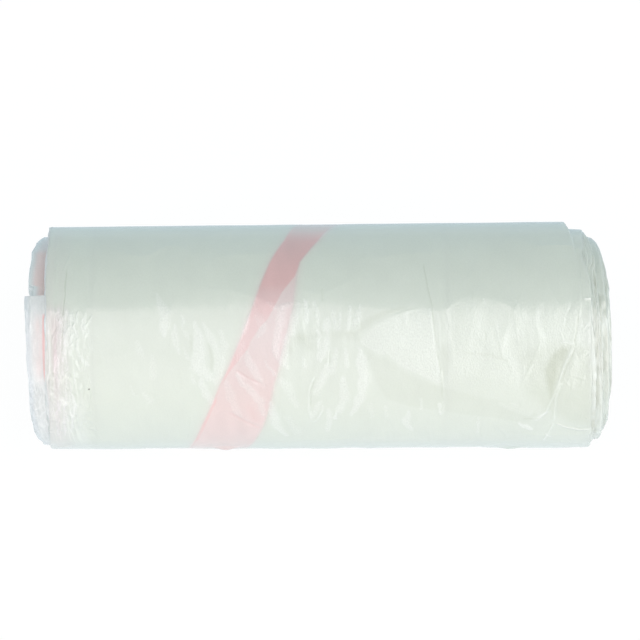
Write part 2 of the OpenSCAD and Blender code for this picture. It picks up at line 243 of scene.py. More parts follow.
# Places where the outer ply stands off the turn below, with a painted highlight: points of the photograph with half
# widths in pixels, how steeply the film falls to the right there, and how much lighter the painted highlight is
LIFTS_AND_HIGHLIGHTS = [
    ([(155.4, 294, 0.6), (161, 303, 3), (165.5, 312, 4.6), (165, 325, 4.4), (164, 335, 2.5)], 0.15, 0.05),
    ([(180.2, 311, 0.8), (183.5, 320, 1.6), (182.2, 326, 1.0)], 0.18, 0.04),
    ([(181.5, 327, 0.8), (189.3, 338, 1.2)], 0.15, 0.03),
    ([(175, 326, 1.0), (174.3, 334, 2.4), (176, 345, 2.4), (178.2, 354, 1.2)], 0.13, 0.04),
    ([(184, 347.6, 1.0), (187.4, 358, 1.8)], 0.15, 0.03),
    ([(194, 321.5, 1.0), (199, 337, 4.2), (200, 353, 5.8), (198, 366, 6.0), (209, 377, 4.0), (215, 383, 1)], 0.13, 0.05),
    ([(204.3, 324, 1.4), (211, 337, 3.6), (217, 350, 3.2), (220, 363, 3.8), (217, 380, 2.5)], 0.12, 0.04),
    ([(221, 331, 1.5), (225, 345, 3.2), (223, 360, 3.0), (220, 374, 2.0)], 0.10, 0.03),
    ([(200.4, 378, 1.2), (203, 386, 2.6), (208, 397, 4.0), (210, 402, 2)], 0.15, 0.05),
    ([(192.6, 375, 1.2), (195, 382, 1.4)], 0.15, 0.03),
    ([(136, 343, 1.5), (140, 350, 3.2), (143, 356, 1.5)], 0.09, 0.02), ([(152, 356, 1.5), (153.5, 376, 3.5)], 0.08, 0.02),
    ([(130, 385, 0.8), (135, 396, 1.4)], 0.14, 0.03), ([(143, 393, 1.0), (149.5, 401, 3.4)], 0.10, 0.03),
    ([(253.7, 304, 1.0), (258.7, 315, 3.6), (263.7, 327, 3.0), (259.4, 336, 1.6)], 0.14, 0.05),
    ([(266.6, 301.4, 1.2), (272.3, 305, 2.6), (276, 308, 1.2)], 0.15, 0.05),
    ([(249.4, 312, 1.0), (246.6, 324, 2.6), (243.7, 333, 1.6)], 0.13, 0.04),
    ([(291, 302, 1.4), (281.5, 309, 3.2), (280.5, 319, 3.8), (277.3, 336, 3.4), (275, 350, 2.8), (281, 362, 2)], 0.13, 0.05),
    ([(243.7, 342, 1.4), (240.9, 353, 3.0), (238, 362, 1.4)], 0.11, 0.03),
    ([(246.6, 351, 1.2), (250.5, 364, 3.6), (259.4, 378.6, 2.8), (265, 387, 1.2)], 0.14, 0.05),
    ([(236.6, 374, 1.2), (243.7, 384.3, 3.0), (253.7, 392.9, 3.0), (260.9, 401.4, 3.4), (263.7, 415, 1.8)], 0.18, 0.06),
    ([(265, 361, 0.9), (275, 374, 1.5)], 0.17, 0.05),
    ([(226, 381, 2.0), (231, 395.7, 4.6), (236.6, 411, 3.0), (241, 417, 1.2)], 0.11, 0.04),
    ([(299.4, 303, 2.2), (295, 317, 3.8), (292.3, 331.4, 3.4)], 0.14, 0.05),
    ([(287, 334, 1.5), (284.4, 350, 3.4), (283, 361.4, 3.0), (287, 369.3, 1.6)], 0.13, 0.05),
    ([(305.9, 301, 1.6), (307.3, 310, 2.4), (306.6, 321, 1.4)], 0.18, 0.06),
    ([(313.7, 303, 1.6), (317.3, 314, 2.6), (318, 323, 1.8)], 0.13, 0.04),
    ([(316.6, 329, 1.0), (319.4, 335.7, 1.8), (318, 347, 1.3), (318.7, 361, 0.9)], 0.22, 0.06),
    ([(327, 318, 2.0), (326.6, 334, 4.0), (325, 350, 4.0), (321, 360, 1.8)], 0.13, 0.05),
    ([(303, 357, 1.0), (305, 367, 2.0)], 0.13, 0.03),
    ([(328, 368, 3.0), (322.3, 381.4, 4.0), (315, 394.3, 1.8)], 0.12, 0.05),
    ([(320.9, 403, 1.6), (316.6, 408.6, 2.6), (312.3, 416, 2.2)], 0.12, 0.04),
    ([(280.9, 380, 2.5), (290, 390, 4.8), (296.6, 405, 2.6)], 0.07, 0.03),
    ([(270.9, 402.9, 1.6), (275, 415.7, 3.8), (277.3, 427, 3.8), (288, 436, 1.4)], 0.15, 0.06),
    ([(288, 418, 3.0), (299, 433, 4.6)], 0.06, 0.02),
    ([(333, 312, 1.6), (337, 329, 2.8)], 0.13, 0.04), ([(341.7, 311, 1.0), (339.6, 329, 1.5)], 0.15, 0.04),
    ([(350.3, 306, 1.4), (348, 329, 2.4)], 0.13, 0.04), ([(360.3, 308, 2.0), (354.6, 329, 2.8)], 0.12, 0.04),
    ([(358.9, 348, 1.0), (361.7, 360, 4.2), (364.5, 376, 4.8), (361.7, 396, 4.2), (352, 414, 2)], 0.15, 0.06),
    ([(346, 349, 1.4), (346.7, 366, 2.4)], 0.13, 0.04), ([(337.4, 348, 1.4), (333, 371, 3.0)], 0.12, 0.04),
    ([(324.6, 375, 2.0), (317.4, 394, 3.6)], 0.10, 0.03),
    ([(343, 377, 2.4), (344.6, 398.9, 4.4), (338.9, 411, 3.0)], 0.12, 0.05),
    ([(328.9, 409, 1.6), (330.3, 421.7, 3.0), (327.4, 431, 1.6)], 0.13, 0.05),
    ([(336.5, 411, 1.0), (335.2, 419, 1.5)], 0.24, 0.08), ([(323, 407, 0.9), (318.9, 418, 1.1)], 0.2, 0.05),
    ([(409, 412, 2.0), (406, 422, 3.6), (411.7, 429.5, 1.6)], 0.12, 0.05),
    ([(386, 407, 1.4), (386.7, 416, 2.0)], 0.08, 0.03), ([(370, 404, 2.0), (371, 415, 3.0)], 0.07, 0.02),
    ([(439, 403, 1.0), (441.5, 413, 1.6)], 0.26, 0.08), ([(443.5, 403, 0.8), (444.5, 412, 1.2)], 0.22, 0.06),
    ([(421, 399, 1.0), (421.5, 409, 1.4)], 0.16, 0.05), ([(478, 418, 1.0), (477.5, 433, 1.6)], 0.12, 0.04),
    ([(519, 423, 1.4), (524, 425.5, 2.8), (531, 429.5, 1.6)], 0.2, 0.09),
    ([(547, 412, 1.4), (537, 418.6, 2.4)], 0.16, 0.06), ([(546, 433, 0.8), (550, 436, 1.0)], 0.2, 0.08),
    ([(500, 403, 2.0), (514, 407, 4.0), (530, 414, 3.0)], 0.05, 0.03),
    ([(66, 311, 1.5), (70, 316, 3.4), (74.5, 320, 1.6)], 0.16, 0.06), ([(79.5, 356, 0.8), (84, 361, 2.2), (88, 366, 1.2)], 0.18, 0.06),
    ([(83, 320, 1.6), (85, 334, 2.4)], 0.12, 0.04), ([(72, 395, 1.0), (75, 405, 2.4), (73.9, 417, 1.2)], 0.2, 0.07),
    ([(64.5, 409, 1.0), (65, 423, 1.3)], 0.24, 0.07), ([(72, 418, 1.0), (70.8, 433, 1.0)], 0.22, 0.05),
    ([(55, 412, 0.9), (58, 427, 1.0)], 0.2, 0.05), ([(46.6, 386, 1.0), (48.9, 404, 1.5)], 0.2, 0.05),
    ([(57, 381, 1.0), (59.5, 395, 1.4)], 0.22, 0.05), ([(65.8, 386, 1.0), (65.8, 401, 1.5)], 0.22, 0.05),
    ([(58, 309, 1.0), (59.5, 330, 1.3), (58.5, 362, 1.0)], 0.24, 0.06), ([(66, 322, 1.0), (66, 346, 1.3)], 0.24, 0.05),
    ([(71, 322, 1.0), (72, 350, 1.4)], 0.2, 0.04), ([(77, 330, 1.0), (78, 350, 1.2)], 0.15, 0.03),
]
# Facets of the film lightened by a painted reflection; below zero, darkened and greener by painted shade: outline,
# softness in millimetres, and how much
LIT_AND_SHADED_FACETS = [
    ([(359, 341), (364, 336), (374.3, 326), (391.3, 317.5), (408, 311.6), (421, 308), (432, 307), (434.5, 330),
      (437, 352), (440.5, 368), (441, 383), (437, 384), (421, 376), (403, 368), (387.5, 355), (378, 355), (372, 351),
      (362, 346)], 0.4, 0.045),
    ([(573, 346), (561, 343.5), (549, 353), (541.5, 369), (543, 382), (548.5, 401), (552, 404), (559.5, 382),
      (566.5, 364)], 2.1, -0.165),
    ([(512, 350), (548, 334), (600, 340), (602, 432), (565, 426), (546, 416), (520, 398)], 5.0, -0.075),
    ([(577, 322), (590, 320), (591, 346), (586, 349), (579, 347), (575, 342)], 0.6, 0.03),
    ([(363, 347), (372, 352), (378, 356), (387.5, 356), (403, 369), (421, 377), (441, 385), (470, 393), (500, 399),
      (514, 403), (541, 414), (528, 424), (500, 420), (470, 417), (440, 412), (410, 408), (385, 400), (374, 382)],
     1.2, -0.035),
    ([(356, 338), (363, 333), (376, 323), (392, 315), (408, 309), (418, 306), (400, 305), (384, 308), (368, 315),
      (350, 326), (344, 334)], 1.3, -0.06),
    ([(441, 340), (446, 345), (450, 360), (448, 376), (442, 378), (440, 360)], 0.7, -0.04),
]
# Painted shade that makes the film duller and greener: points with half widths in pixels, and how much
SHADED_PATCHES = [
    ([(300, 337, 7), (329, 335, 8), (344, 334, 9), (356, 338, 6)], 0.03), ([(300, 338, 9), (309, 346, 9)], 0.04),
    ([(289, 346, 4), (291, 352, 4)], 0.03),
    ([(466, 352.5, 2), (490, 355, 3), (507.5, 361, 2)], 0.03), ([(524, 418.6, 1.5), (538, 418.6, 1.5)], 0.05),
    ([(209, 344, 2), (212, 360, 3), (211, 372, 2)], 0.04), ([(190, 336, 2), (192, 350, 3)], 0.03),
    ([(250, 408, 8), (256, 420, 7)], 0.03),
]
# Wide soft swellings: pixel, half sizes along the roll and round it, height
SWELLINGS = [
    ((226, 447), 3.0, 1.5, 0.8), ((510, 447), 3.5, 1.5, 0.6), ((62, 446), 1.0, 1.5, 0.35), ((67, 446), 1.0, 1.5, 0.35),
]
# The left and right edges of the outer turn, and the edge of the ply that lies over it and stops short
LEFT_EDGE = [(49.6, 225.6), (49.4, 229), (49.2, 238), (47.6, 250), (46.2, 262), (45.4, 269), (44.8, 287), (45.2, 316),
             (45.4, 345), (45.8, 372), (47.3, 390), (48.9, 405), (49.4, 420), (50, 438), (50.4, 447)]
RIGHT_EDGE = [(581.6, 252), (585.2, 263), (588.9, 274), (590.7, 284), (591.6, 297), (591.6, 320), (591.6, 348),
              (591.8, 374), (592, 403), (592, 417), (591.4, 428), (589.3, 438)]
RIGHT_EDGE_ABOVE = [(124, 80.6), (132, 80.3), (140, 80.2), (152, 79.4)]
# How far the outer turn lies below that ply, in millimetres against the angle
RIGHT_DROPS = [(44, 0), (53, 0.09), (90, 0.14), (106, 0.45), (120, 1.3), (135, 2.3), (150, 2.4), (175, 1.0), (190, 0)]
TOP_PLY_EDGE = [(563, 221.4), (566.4, 225), (568.8, 228), (571.2, 235), (575.2, 252), (578.4, 267), (580.2, 277), (581.6, 299), (580.6, 313),
                (576, 331), (574.5, 346)]


def off_line(x, s, ends):
    """How far along a line a point is, from 0 to 1, and how far off it, to the right of an upward line."""
    (x0, s0), (x1, s1) = ends
    dx, ds = x1 - x0, s1 - s0
    length = math.hypot(dx, ds)
    return ((x - x0) * dx + (s - s0) * ds) / length**2, ((x - x0) * ds - (s - s0) * dx) / length


def pixel_place(pixel):
    x, angle = on_roll(*pixel)
    return x, math.radians(angle) * ROLL_R


def leaf(x, s, ends, half, height):
    """A fold, widest halfway, with a sharp crest, a steep left side and a long right one."""
    t, off = off_line(x, s, ends)
    swell = np.sqrt(np.clip(4 * t * (1 - t), 0, 1))
    across = off / (half * swell + 1e-6)
    slope = np.where(across > 0, np.clip(1 - across, 0, 1) ** 1.5, np.clip(1 + 4 * across, 0, 1))
    return height * swell * slope


def random_crumples(count, seed, columns, rows, halves, painted_light):
    """Short wavy folds with painted glints down a stretch of the picture, in the same form as the lifted places"""
    rng = np.random.default_rng(seed)
    found = []
    for _ in range(count):
        px, py = rng.uniform(*columns), rng.uniform(*rows)
        length, half = rng.uniform(4, 20), rng.uniform(*halves)
        lean = rng.normal(0, 0.12)
        points = []
        for part, width in ((0, 0.5), (0.35, 1), (0.7, 0.9), (1, 0.4)):
            points.append((px + lean * length * part + rng.normal(0, 0.7), py + length * part, half * width))
        found.append((points, rng.uniform(0.12, 0.3), rng.uniform(*painted_light)))
    return found


CRUMPLES_AND_GLINTS = (
    random_crumples(50, 41, (55, 64), (309, 372), (0.4, 0.9), (0.04, 0.12))
    + random_crumples(26, 42, (64, 78), (309, 345), (0.5, 1.5), (0.01, 0.07))
    + random_crumples(34, 43, (51, 76), (365, 412), (0.4, 1.1), (0.03, 0.10))
    + random_crumples(14, 44, (56, 76), (395, 418), (0.6, 1.6), (0.04, 0.10))
    + random_crumples(14, 45, (78, 90), (312, 400), (0.5, 1.1), (0.0, 0.03))
)
# Shares of the listed slopes and of the painted highlights and shade that the model takes
LIFT_SHARE, CRUMPLE_SHARE, PAINTED_LIGHT_SHARE, PAINTED_SHADE_SHARE = 0.32, 1.35, 1.4, 1.7
LIFT_WIDTH = 1.55


def stroke(x, s, points, wider=1.0):
    """Which places a stroke covers, how far across it they are in half widths, its half width there, and how
    far along it they are, from 0 to 1."""
    spots = [(*pixel_place((px, py)), half * wider * MM_PER_PIXEL) for px, py, half in points]
    reach = 1.2 * max(half for _, _, half in spots)
    near = (x > min(p[0] for p in spots) - reach) & (x < max(p[0] for p in spots) + reach)
    near &= (s > min(p[1] for p in spots) - reach) & (s < max(p[1] for p in spots) + reach)
    near_x, near_s = x[near], s[near]
    across, halves, parts = np.full(near_x.shape, 9.0), np.ones(near_x.shape), np.zeros(near_x.shape)
    for count, ((x0, s0, half0), (x1, s1, half1)) in enumerate(zip(spots, spots[1:])):
        dx, ds = x1 - x0, s1 - s0
        along = np.clip(((near_x - x0) * dx + (near_s - s0) * ds) / (dx * dx + ds * ds), 0, 1)
        off_x, off_s = near_x - x0 - along * dx, near_s - s0 - along * ds
        half = half0 + (half1 - half0) * along
        here = np.where(off_s * dx > off_x * ds, 1, -1) * np.hypot(off_x, off_s) / half
        closer = np.abs(here) < np.abs(across)
        across, halves = np.where(closer, here, across), np.where(closer, half, halves)
        parts = np.where(closer, (count + along) / (len(spots) - 1), parts)
    return near, across, halves, parts


def taper(part):
    """Fades a crease at both ends."""
    return smooth(np.minimum(part, 1 - part) / 0.15)


def inside(x, s, pixels):
    """Which places are close to an outline, and how far inside it they are, in millimetres."""
    corners = [pixel_place(pixel) for pixel in pixels]
    near = (x > min(c[0] for c in corners)) & (x < max(c[0] for c in corners))
    near &= (s > min(c[1] for c in corners)) & (s < max(c[1] for c in corners))
    near_x, near_s = x[near], s[near]
    within, least = np.zeros(near_x.shape, bool), np.full(near_x.shape, 99.0)
    for (x0, s0), (x1, s1) in zip(corners, corners[1:] + corners[:1]):
        dx, ds = x1 - x0, s1 - s0
        along = np.clip(((near_x - x0) * dx + (near_s - s0) * ds) / (dx * dx + ds * ds), 0, 1)
        least = np.minimum(least, np.hypot(near_x - x0 - along * dx, near_s - s0 - along * ds))
        level = x0 + (near_s - s0) * dx / (ds if abs(ds) > 1e-9 else 1e-9)
        within ^= ((s0 > near_s) != (s1 > near_s)) & (near_x < level)
    return near, np.where(within, least, 0)


def ragged(x, s):
    """Places moved a little at random, which frays the edges of what is drawn at them."""
    return (x + 0.28 * noise(x / 1.1, s / 2.6, 18) + 0.2 * noise(x / 0.6, s / 1.3, 19),
            s + 0.6 * noise(x / 1.3, s / 2.0, 20))


def crease_height(x, s):
    """Height of the photographed creases and swellings, in millimetres."""
    h = np.zeros(np.shape(x))
    for pixels, half, height, _ in CREASES:
        width = half / MM_PER_PIXEL
        near, across, _, part = stroke(x, s, [(px, py, width) for px, py in pixels])
        h[near] += height * np.clip(1 - np.abs(across), 0, 1) * taper(part)
    frayed_x, frayed_s = ragged(x, s)
    for strokes, most, wider in ((LIFTS_AND_HIGHLIGHTS, LIFT_SHARE, LIFT_WIDTH), (CRUMPLES_AND_GLINTS, CRUMPLE_SHARE, 1.0)):
        for points, slope, _ in strokes:
            near, across, halves, _ = stroke(frayed_x, frayed_s, points, wider)
            rise = np.clip(np.minimum((across + 1) / 0.6, (1 - across) / 0.9), 0, 1)
            h[near] += most * slope * halves * rise
    for pixel, half_x, half_s, height in SWELLINGS:
        cx, cs = pixel_place(pixel)
        h += height * np.exp(-(((x - cx) / half_x) ** 2) - ((s - cs) / half_s) ** 2)
    return h


def painted_light_and_grain(x, s):
    """How much painted highlight lightens the film, painted shade below zero, and how far its grain shows, from 0 to 1.
    """
    shade, grain = np.zeros(np.shape(x)), np.zeros(np.shape(x))
    frayed_x, frayed_s = ragged(x, s)
    for strokes, wider in ((LIFTS_AND_HIGHLIGHTS, LIFT_WIDTH), (CRUMPLES_AND_GLINTS, 1.0)):
        for points, _, painted_light in strokes:
            near, across, _, _ = stroke(frayed_x, frayed_s, points, wider)
            share = smooth((1 + across) / 0.45) * smooth((1 - across) / 0.75)
            shade[near] = np.maximum(shade[near], PAINTED_LIGHT_SHARE * painted_light * share)
            grain[near] = np.maximum(grain[near], share)
    for outline, soft, painted_light in LIT_AND_SHADED_FACETS:
        near, depth = inside(x, s, outline)
        share = smooth(depth / soft)
        shade[near] += painted_light * share
        if painted_light > 0:
            grain[near] = np.maximum(grain[near], share)
        else:
            grain[near] *= 1 - 0.7 * share
    for points, painted_shade in SHADED_PATCHES:
        near, across, _, _ = stroke(x, s, points)
        share = smooth(1 - np.abs(across))
        shade[near] -= PAINTED_SHADE_SHARE * painted_shade * share
        grain[near] *= 1 - 0.7 * share
    for pixels, half, _, painted_light in CREASES:
        near, across, _, part = stroke(x, s, [(px, py, half / MM_PER_PIXEL) for px, py in pixels])
        shade[near] += PAINTED_LIGHT_SHARE * painted_light * smooth(1.2 * (1 - np.abs(across))) * taper(part)
    return shade, grain


def edge_table(pixels):
    """Angles and x of a line down the picture, sorted by angle."""
    return sorted((angle, x) for x, angle in (on_roll(*pixel) for pixel in pixels))


def right_drop(angle):
    return table(angle, RIGHT_DROPS)


def below_top_ply(x, angle):
    """How far the outer turn lies below the ply that stops short at the right end."""
    line = edge_table(TOP_PLY_EDGE)
    return right_drop(angle) * smooth((x - table(angle, line)) / 0.35 + 0.5)


def random_leaves(count, seed, span, arc_span, lengths, halves, heights, spread):
    """Folds strewn over a stretch of the skin, most of them running round the roll."""
    rng = np.random.default_rng(seed)
    leaves = []
    for _ in range(count):
        x, s = rng.uniform(*span), math.radians(rng.uniform(*arc_span)) * ROLL_R
        lean = math.radians(rng.normal(0, spread) + (rng.choice([-42, 42]) if rng.random() < 0.2 else 0))
        half_length = rng.uniform(*lengths) / 2
        dx, ds = half_length * math.sin(lean), half_length * math.cos(lean)
        leaves.append((((x - dx, s - ds), (x + dx, s + ds)), rng.uniform(*halves), rng.uniform(*heights)))
    return leaves


STREWN = (
    random_leaves(120, 5, (-82, 80), (-160, -42), (6, 22), (0.9, 2.6), (-0.12, 0.2), 16)
    + random_leaves(70, 15, (-82, 80), (-42, 150), (6, 20), (0.9, 2.4), (-0.06, 0.09), 16)
    + random_leaves(60, 25, (-82, 80), (150, 198), (6, 22), (0.9, 2.6), (-0.12, 0.2), 16)
    + random_leaves(100, 6, (-82, -69), (2, 62), (1.5, 6), (0.4, 1.0), (-0.1, 0.22), 20)
    + random_leaves(60, 7, (72, 82), (-40, 66), (1.5, 6), (0.4, 0.9), (-0.1, 0.16), 30)
    + random_leaves(60, 8, (-81, -61), (76, 320), (3, 12), (0.5, 1.0), (-0.1, 0.16), 14)
)


def skin_height(x, angle):
    """How far the outer ply stands off the even roll, in millimetres."""
    s = np.radians(angle) * ROLL_R
    x, s, angle = np.broadcast_arrays(x, s, angle)
    warp_x = x + 1.6 * noise(x / 7, s / 9, 3)
    warp_s = s + 3.0 * noise(x / 9, s / 14, 4)
    h = 0.14 * noise(x / 38, s / 26, 11)
    h += 0.24 * (folds(warp_x / 24, warp_s / 17, 16) - 0.4)
    h += 0.13 * noise(warp_x / 7.5, warp_s / 19, 12)
    h += 0.10 * (folds(warp_x / 10, warp_s / 32, 13) - 0.4)
    crumpled = 0.35 + 0.65 * smooth(noise(x / 16, s / 13, 17) + 0.5)
    h += 0.045 * crumpled * noise(warp_x / 2.3, warp_s / 7, 14)
    h += 0.020 * crumpled * noise(warp_x / 0.95, warp_s / 3.2, 15)
    for ends, half, height in STREWN:
        (x0, s0), (x1, s1) = ends
        near = (np.abs(x - (x0 + x1) / 2) < abs(x1 - x0) / 2 + half)
        near &= np.abs(s - (s0 + s1) / 2) < abs(s1 - s0) / 2 + half
        h[near] += leaf(x[near], s[near], ends, half, height)
    # The web's folded edge at the left is crumpled lengthwise
    left_band = smooth((-66.5 - x) / 4.5) * smooth((s + 70) / 20)
    lower = 0.12 + 0.88 * smooth((66 - angle) / 7)
    patchy = 0.35 + 0.65 * smooth(noise(x / 3.4, s / 7, 26) + 0.6)
    ridges = 0.13 * (folds(warp_x / 1.9, warp_s / 22, 21) - 0.4) + 0.07 * noise(warp_x / 1.05, warp_s / 6, 22)
    ridges += 0.05 * noise(x / 0.75, s / 1.7, 24) + 0.10 * (folds(warp_x / 2.3 + s / 40, s / 4.2, 27) - 0.4)
    stronger = (1.4 + 0.9 * smooth((36 - angle) / 16)) * (1 + 0.8 * smooth((-77.5 - x) / 2))
    h += left_band * lower * patchy * ridges * stronger * (0.1 + 0.9 * smooth((s + 9) / 9))
    above = smooth((angle - 104) / 18) * smooth((178 - angle) / 14)
    h *= 1 - 0.8 * above
    right_band = smooth((x - 74) / 6)
    h += right_band * 0.12 * noise(warp_x / 1.8, s / 5, 23)
    from_flat = np.abs(np.mod(angle + 90 + 180, 360) - 180)
    calm = 0.1 + 0.9 * smooth((from_flat - FLAT_HALF) / 14)
    lap = smooth((angle - LAP_ANGLE) / 4) * smooth((LAP_ANGLE + 360 - angle) / 4)
    return (h + crease_height(x, s)) * calm * (0.25 + 0.75 * lap) - below_top_ply(x, angle)


def grid_mesh(name, points, colours, along, drop=None, grain=None):
    """A smooth sheet through rows of points. drop marks squares to leave out; the colours' alpha is the grain."""
    rows, columns = points.shape[:2]
    index = np.arange(rows * columns).reshape(rows, columns)
    squares = np.stack([index[:-1, :-1], index[:-1, 1:], index[1:, 1:], index[1:, :-1]], axis=-1)
    squares = squares[~drop] if drop is not None else squares.reshape(-1, 4)
    mesh = bpy.data.meshes.new(name)
    mesh.from_pydata(points.reshape(-1, 3).tolist(), [], squares.tolist())
    corner = np.empty(len(mesh.loops), dtype=np.int32)
    mesh.loops.foreach_get("vertex_index", corner)
    layer = mesh.uv_layers.new(name="around")
    layer.data.foreach_set("uv", along.reshape(-1, 2)[corner].ravel())
    tint = mesh.color_attributes.new(name="tint", type="FLOAT_COLOR", domain="POINT")
    grain = np.full((rows, columns), 0.5) if grain is None else grain
    rgba = np.concatenate([colours.reshape(-1, 3), grain.reshape(-1, 1)], axis=1)
    tint.data.foreach_set("color", rgba.ravel())
    mesh.polygons.foreach_set("use_smooth", [True] * len(mesh.polygons))
    mesh.update()
    obj = bpy.data.objects.new(name, mesh)
    bpy.context.scene.collection.objects.link(obj)
    return obj


def around(x, angle):
    """Texture places in metres, along the roll and round it."""
    x, angle = np.broadcast_arrays(x, angle)
    return np.stack([x * MM, np.radians(angle) * ROLL_R * MM], axis=-1)


def skin_rows():
    """Angles round the roll, closer together where the camera sees them."""
    return np.concatenate([
        np.arange(LAP_ANGLE, -40, 2.1), np.arange(-40, 112, 0.45), np.arange(112, 148, 0.9),
        np.linspace(148, LAP_ANGLE + 360, 26)
    ])


# Colours, as linear values
FILM = np.array([0.68, 0.72, 0.645])
EDGE_FILM = np.array([0.715, 0.76, 0.695])
LOOSE_FILM = np.array([0.68, 0.72, 0.72])
BAND_FILM = np.array([0.68, 0.615, 0.605])
BLUISH_FILM = np.array([0.685, 0.75, 0.77])
PINK = np.array([0.81, 0.625, 0.605])
FLAP_RIM = np.array([0.60, 0.67, 0.715])
DULL_PINK = np.array([0.62, 0.485, 0.485])
DEEP_PINK = np.array([0.80, 0.455, 0.45])
RED_LINE = np.array([0.82, 0.40, 0.40])
SPECKS = [((88.9, 389.6), 0.24, (0.10, 0.09, 0.08)), ((275.7, 344.4), 0.3, (0.55, 0.22, 0.10))]


def blend(a, b, share):
    share = np.asarray(share)[..., None]
    return a * (1 - share) + b * share


def strip_edges(angle):
    left = FOLD_W * table(angle, OUTER_LEFT_SHARES)
    return left, left + STRIP_W * table(angle, SHOWN_SHARES)


def film_colour(x, angle):
    """The skin's colour: milky, inner strips' pink glowing through at the left, painted light and shade."""
    x, angle = np.broadcast_arrays(x, angle)
    s = np.radians(angle) * ROLL_R
    lower = smooth((70 - angle) / 8)
    band = smooth((-73.5 - x) / 6) * (0.25 + 0.75 * lower) * (0.6 + 0.3 * noise(x / 1.3, s / 24, 31))
    band = band * (0.6 + 0.4 * smooth((angle - 10) / 18))
    colour = blend(FILM, BAND_FILM, np.clip(band, 0, 1))
    glow = 0.42 * np.exp(-(((x + 79.2) / 1.6) ** 2)) * smooth((s - 16) / 8) * smooth((39 - s) / 5)
    glow = glow * (1 + 0.5 * noise(x / 0.8, s / 9, 33))
    colour = blend(colour, DULL_PINK, np.clip(glow, 0, 1))
    low_left = smooth((-69 - x) / 4) * smooth((24 - angle) / 12)
    colour = colour * (1 + low_left[..., None] * np.array([0.075, 0.06, 0.09]))
    # Painted shade: a little darker and bluer towards the underside
    under = smooth((-12 - angle) / 14)
    colour = colour * (1 - under[..., None] * np.array([0.05, 0.03, 0.01]))
    left, right = strip_edges(angle)
    beside = np.maximum(left - x, x - right)
    colour = blend(colour, PINK, 0.35 * np.exp(-np.maximum(beside, 0) / 0.9))
    # Painted highlights lighten the film, and painted shade darkens it and turns it greener
    painted_light, _ = painted_light_and_grain(x, s)
    colour = colour * (1 + 0.015 * noise(x / 12, s / 16, 32))[..., None]
    colour = colour * (1 + np.maximum(painted_light, 0)[..., None] * np.array([1.0, 0.8, 1.2]))
    colour = colour * (1 + np.minimum(painted_light, 0)[..., None] * np.array([1.0, 0.95, 1.25]))
    # Painted glints: light streaks, darker between them, down the crumpled band at the left
    painted_glints = smooth((folds((x + 0.5 * noise(x / 4, s / 6, 36)) / 1.25, s / 7, 35) - 0.5) / 0.35)
    shown = smooth((-71.5 - x) / 4) * lower * smooth((s + 28) / 8)
    colour = colour * (1 + 0.12 * (painted_glints * smooth(noise(x / 3, s / 6, 37) + 0.7) - 0.35) * shown)[..., None]
    for pixel, half, speck in SPECKS:
        cx, cs = pixel_place(pixel)
        colour = blend(colour, np.array(speck), smooth(1.5 - np.hypot(x - cx, (s - cs) / 1.2) / half))
    return colour


def film_grain(x, angle):
    """How far the grain shows: most on lifted film and painted highlights, least on smooth stretches and painted shade.
    """
    x, angle = np.broadcast_arrays(x, angle)
    s = np.radians(angle) * ROLL_R
    _, grain = painted_light_and_grain(x, s)
    right = smooth((x - 37) / 3) * smooth((angle - 18) / 14) * smooth((71 - angle) / 6)
    above = 0.14 * smooth((angle - 72) / 8)
    return np.clip(np.maximum(grain, right * (0.5 + 0.3 * noise(x / 9, s / 7, 38))) + 0.14 + above, 0, 1)


def skin_ends(angle):
    """The two folded edges of the outermost web, a little uneven."""
    s = np.radians(angle) * ROLL_R
    depth = 1 - part_of_turn(angle)
    line = edge_table(LEFT_EDGE)
    seen = smooth((angle - line[0][0]) / 12 + 1) * smooth((line[-1][0] - angle) / 25 + 1)
    left = left_x(depth, angle) * (1 - seen) + table(angle, line) * seen + 0.1 * noise(s / 5, 0 * s, 41)
    line = edge_table(RIGHT_EDGE) + RIGHT_EDGE_ABOVE
    seen = smooth((angle - line[0][0]) / 12 + 1) * smooth((line[-1][0] - angle) / 25 + 1)
    right = right_x(depth, angle) * (1 - seen) + table(angle, line) * seen + 0.2 * noise(s / 4, 0 * s, 42)
    return left, right


def turned_in(edge, r, inward):
    """Two more columns that turn the web's folded edge over, and one that leads in below it."""
    xs = np.concatenate([edge + inward * dx for dx in (0.7, 0.0, -0.03)], axis=1)
    rs = np.stack([r - dr for dr in (0.6, 0.35, 0.12)], axis=1)
    return xs, rs


